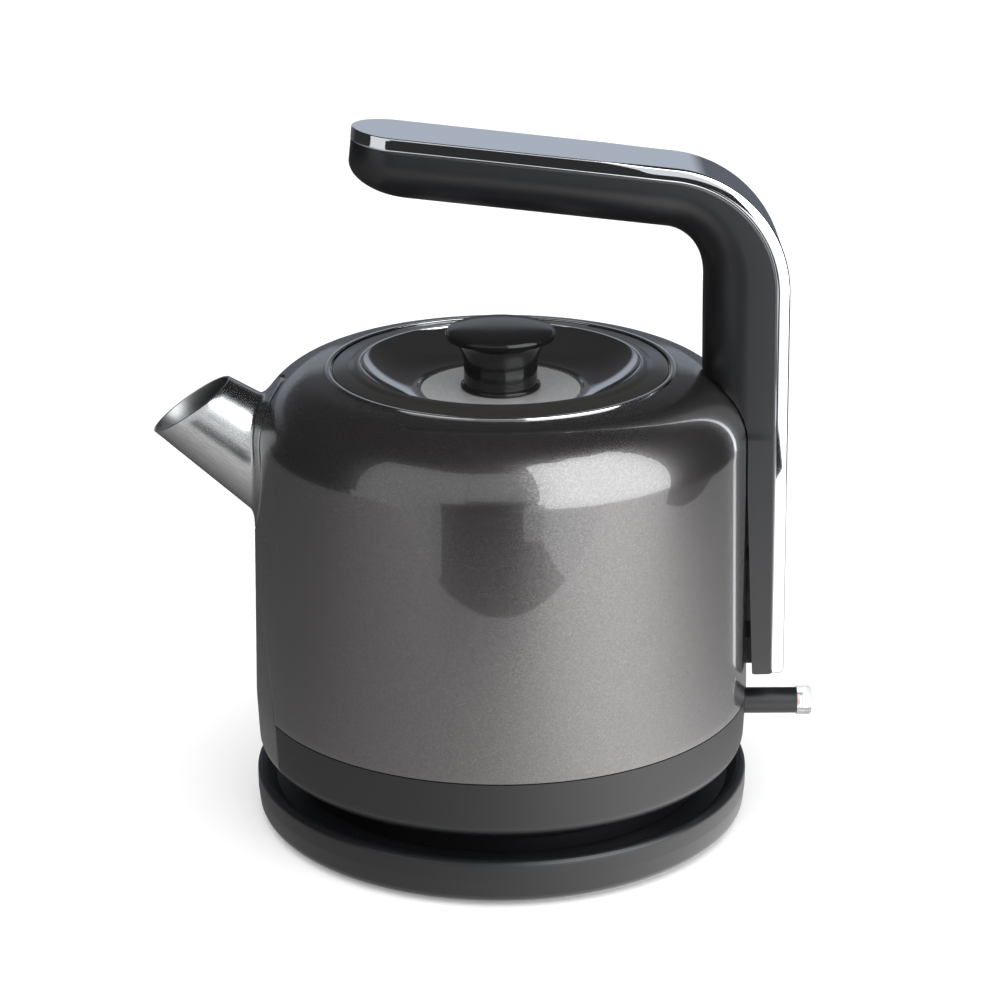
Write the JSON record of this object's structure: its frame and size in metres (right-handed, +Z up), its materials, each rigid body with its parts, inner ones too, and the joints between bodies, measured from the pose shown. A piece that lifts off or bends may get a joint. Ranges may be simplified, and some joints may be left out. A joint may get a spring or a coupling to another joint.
{
  "type": "electric kettle",
  "caption": "Cordless electric kettle: round painted body with short conical spout, recessed lid with knob, L-shaped over-arm handle, side switch lever and round power base.",
  "frame": {"origin": "on the kettle's vertical axis, at the flat underside of the power base", "axes": "+Z up, -X towards the spout, +X towards the handle leg and the switch lever, +Y towards the cord hole of the base"},
  "size_m": [0.2097, 0.1621, 0.2245],
  "materials": {
    "shell_paint": "pearl grey paint with fine flake under a clear coat",
    "tray_plastic": "satin moulded",
    "band_plastic": "fine satin texture",
    "black_gloss": "polished",
    "foot_rubber": "matt",
    "zinc_steel": "zinc plated",
    "brass": "plain",
    "white_plastic": "moulded",
    "pot_steel": "drawn and brushed",
    "bright_steel": "polished",
    "cast_aluminium": "as cast",
    "element_steel": "oxidised",
    "silicone": "matt translucent",
    "spout_steel": "polished lengthwise",
    "trim_chrome": "mirror",
    "clear_lens": "clear moulded",
    "lamp_glass": "small lamp",
    "rim_metal": "satin dark metal",
    "lid_chrome": "mirror polished",
    "brushed_disc": "turned in circles"
  },
  "bodies": {
    "base": {"base_upper": "tray_plastic", "base_lower": "tray_plastic", "base_feet": "foot_rubber", "base_screws": "zinc_steel", "base_connector": "black_gloss", "base_contacts": "brass", "cord_gland": "foot_rubber", "cord_clamp": "white_plastic"},
    "pin": {"centre_pin": "brass"},
    "lever": {"switch_lever": "band_plastic", "lever_lens": "clear_lens", "lever_lamp": "lamp_glass"},
    "lid": {"lid_rim": "rim_metal", "lid_dish": "lid_chrome", "lid_disc": "brushed_disc", "lid_plug": "black_gloss", "lid_seal": "silicone", "lid_knob": "black_gloss", "knob_screw": "zinc_steel"},
    "kettle": {"outer_shell": "shell_paint", "front_panel": "shell_paint", "bottom_cover": "band_plastic", "bottom_screws": "zinc_steel", "inner_pot": "pot_steel", "neck_ring": "bright_steel", "pot_floor": "pot_steel", "heat_plate": "cast_aluminium", "heating_element": "element_steel", "element_terminals": "brass", "control_unit": "white_plastic", "control_studs": "zinc_steel", "dry_boil_discs": "brass", "earth_sleeve": "brass", "socket_ring_inner": "brass", "socket_ring_outer": "brass", "steam_tube": "pot_steel", "steam_seal": "silicone", "steam_switch": "white_plastic", "steam_disc": "brass", "lever_pin": "zinc_steel", "lever_spring": "zinc_steel", "spout": "spout_steel", "spout_strainer": "pot_steel", "handle_body": "band_plastic", "handle_trim": "trim_chrome", "handle_spacers": "foot_rubber", "handle_screws": "zinc_steel"}
  },
  "joints": [
    {"name": "kettle_turn", "type": "hinge", "parent": "base", "child": "pin", "pos_m": [0, 0, 0], "axis": [0, 0, 1], "continuous": true},
    {"name": "kettle_lift", "type": "slide", "parent": "pin", "child": "kettle", "axis": [0, 0, 1], "range_m": [0, 0.12]},
    {"name": "lid_lift", "type": "slide", "parent": "kettle", "child": "lid", "axis": [0, 0, 1], "range_m": [0, 0.03]},
    {"name": "lever_switch", "type": "hinge", "parent": "kettle", "child": "lever", "pos_m": [0.069, 0, 0.034], "axis": [0, 1, 0], "range_deg": [0, 9], "deforming": ["lever_spring"]}
  ]
}
